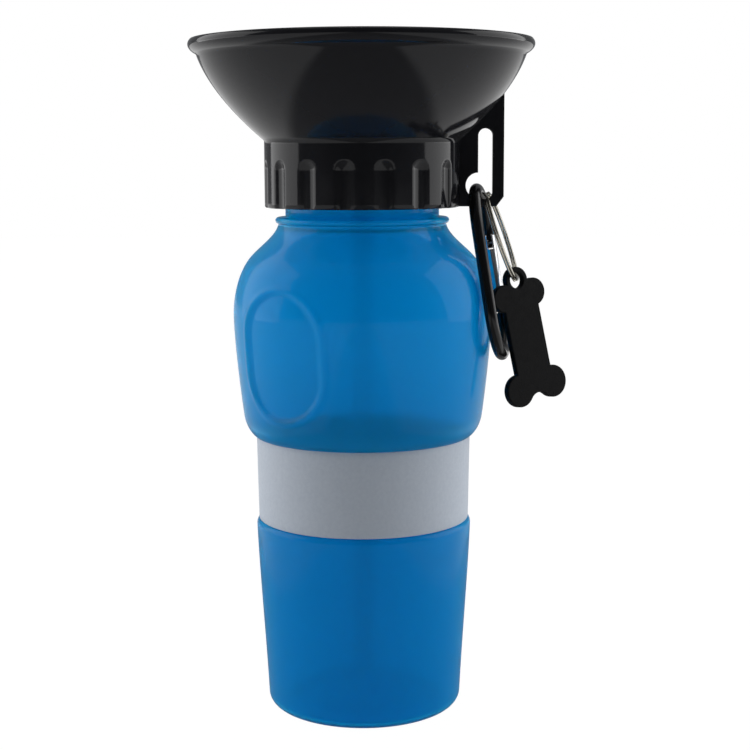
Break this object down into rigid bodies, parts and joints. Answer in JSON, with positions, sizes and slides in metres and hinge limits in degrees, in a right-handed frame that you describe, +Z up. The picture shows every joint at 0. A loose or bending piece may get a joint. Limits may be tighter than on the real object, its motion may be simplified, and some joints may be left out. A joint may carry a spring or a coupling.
{
  "type": "dog travel water bottle",
  "caption": "Squeeze bottle for dogs with a flared drinking bowl on its screw collar, a grip band, a keyhole tab, a sprung snap hook, a key ring and a bone-shaped tag.",
  "frame": {"origin": "centre of the circle that the foot ring stands on", "axes": "+Z up the bottle's axis to the bowl, +X towards the keyhole tab, +Y to the hook's gate side"},
  "size_m": [0.1252, 0.1136, 0.2234],
  "materials": {
    "bottle_plastic": "glossy, translucent blue, soft enough to squeeze",
    "band_rubber": "matt pale grey, bare",
    "seal_rubber": "satin",
    "black_plastic": "glossy black moulding",
    "tube_plastic": "satin, translucent",
    "black_metal": "glossy black",
    "gate_metal": "bright satin",
    "steel": "satin",
    "ring_metal": "bright nickel plate",
    "tag_plastic": "matt black"
  },
  "bodies": {
    "bottle": {"bottle": "bottle_plastic", "grip_band": "band_rubber"},
    "seal": {"neck_gasket": "seal_rubber"},
    "cap": {"bowl_cap": "black_plastic", "dip_tube": "tube_plastic"},
    "clip": {"carabiner_body": "black_metal", "gate_pivot_rivet": "steel"},
    "gate": {"carabiner_gate": "gate_metal", "gate_latch_pin": "steel", "gate_spring": "steel"},
    "plunger": {"gate_plunger": "steel"},
    "ring": {"split_ring": "ring_metal"},
    "tag": {"bone_tag": "tag_plastic"}
  },
  "joints": [
    {"name": "cap_lift", "type": "slide", "parent": "bottle", "child": "seal", "axis": [0, 0, 1], "range_m": [0, 0.00601]},
    {"name": "cap_turn", "type": "hinge", "parent": "seal", "child": "cap", "pos_m": [0, 0, 0.1884], "axis": [0, 0, 1], "range_deg": [0, 450]},
    {"name": "clip_swing", "type": "hinge", "parent": "cap", "child": "clip", "pos_m": [0.03805, -0.0005, 0.17475], "axis": [-0.2027, -0.9708, 0.1286], "range_deg": [0, 100]},
    {"name": "gate_open", "type": "hinge", "parent": "clip", "child": "gate", "pos_m": [0.04639, 0.00687, 0.13546], "axis": [0.9686, -0.1795, 0.1719], "range_deg": [0, 28], "stiffness_Nm_per_rad": 0.03, "springref_deg": -28.65},
    {"name": "plunger_slide", "type": "slide", "parent": "gate", "child": "plunger", "axis": [-0.1438, 0.1594, 0.9767], "range_m": [0, 0.0006], "deforming": ["gate_spring"]},
    {"name": "ring_swing", "type": "hinge", "parent": "clip", "child": "ring", "pos_m": [0.0415, 0, 0.17328], "axis": [-0.1564, -0.9877, 0], "range_deg": [0, 25]},
    {"name": "tag_swing", "type": "hinge", "parent": "ring", "child": "tag", "pos_m": [0.05019, -0.00579, 0.14572], "axis": [-0.2436, -0.9296, 0.2764], "range_deg": [0, 30]}
  ],
  "couplings": [
    {"joint": "cap_lift", "follows": "cap_turn", "m_per_rad": 0.00076394},
    {"joint": "plunger_slide", "follows": "gate_open", "m_per_rad": 0.0012}
  ]
}
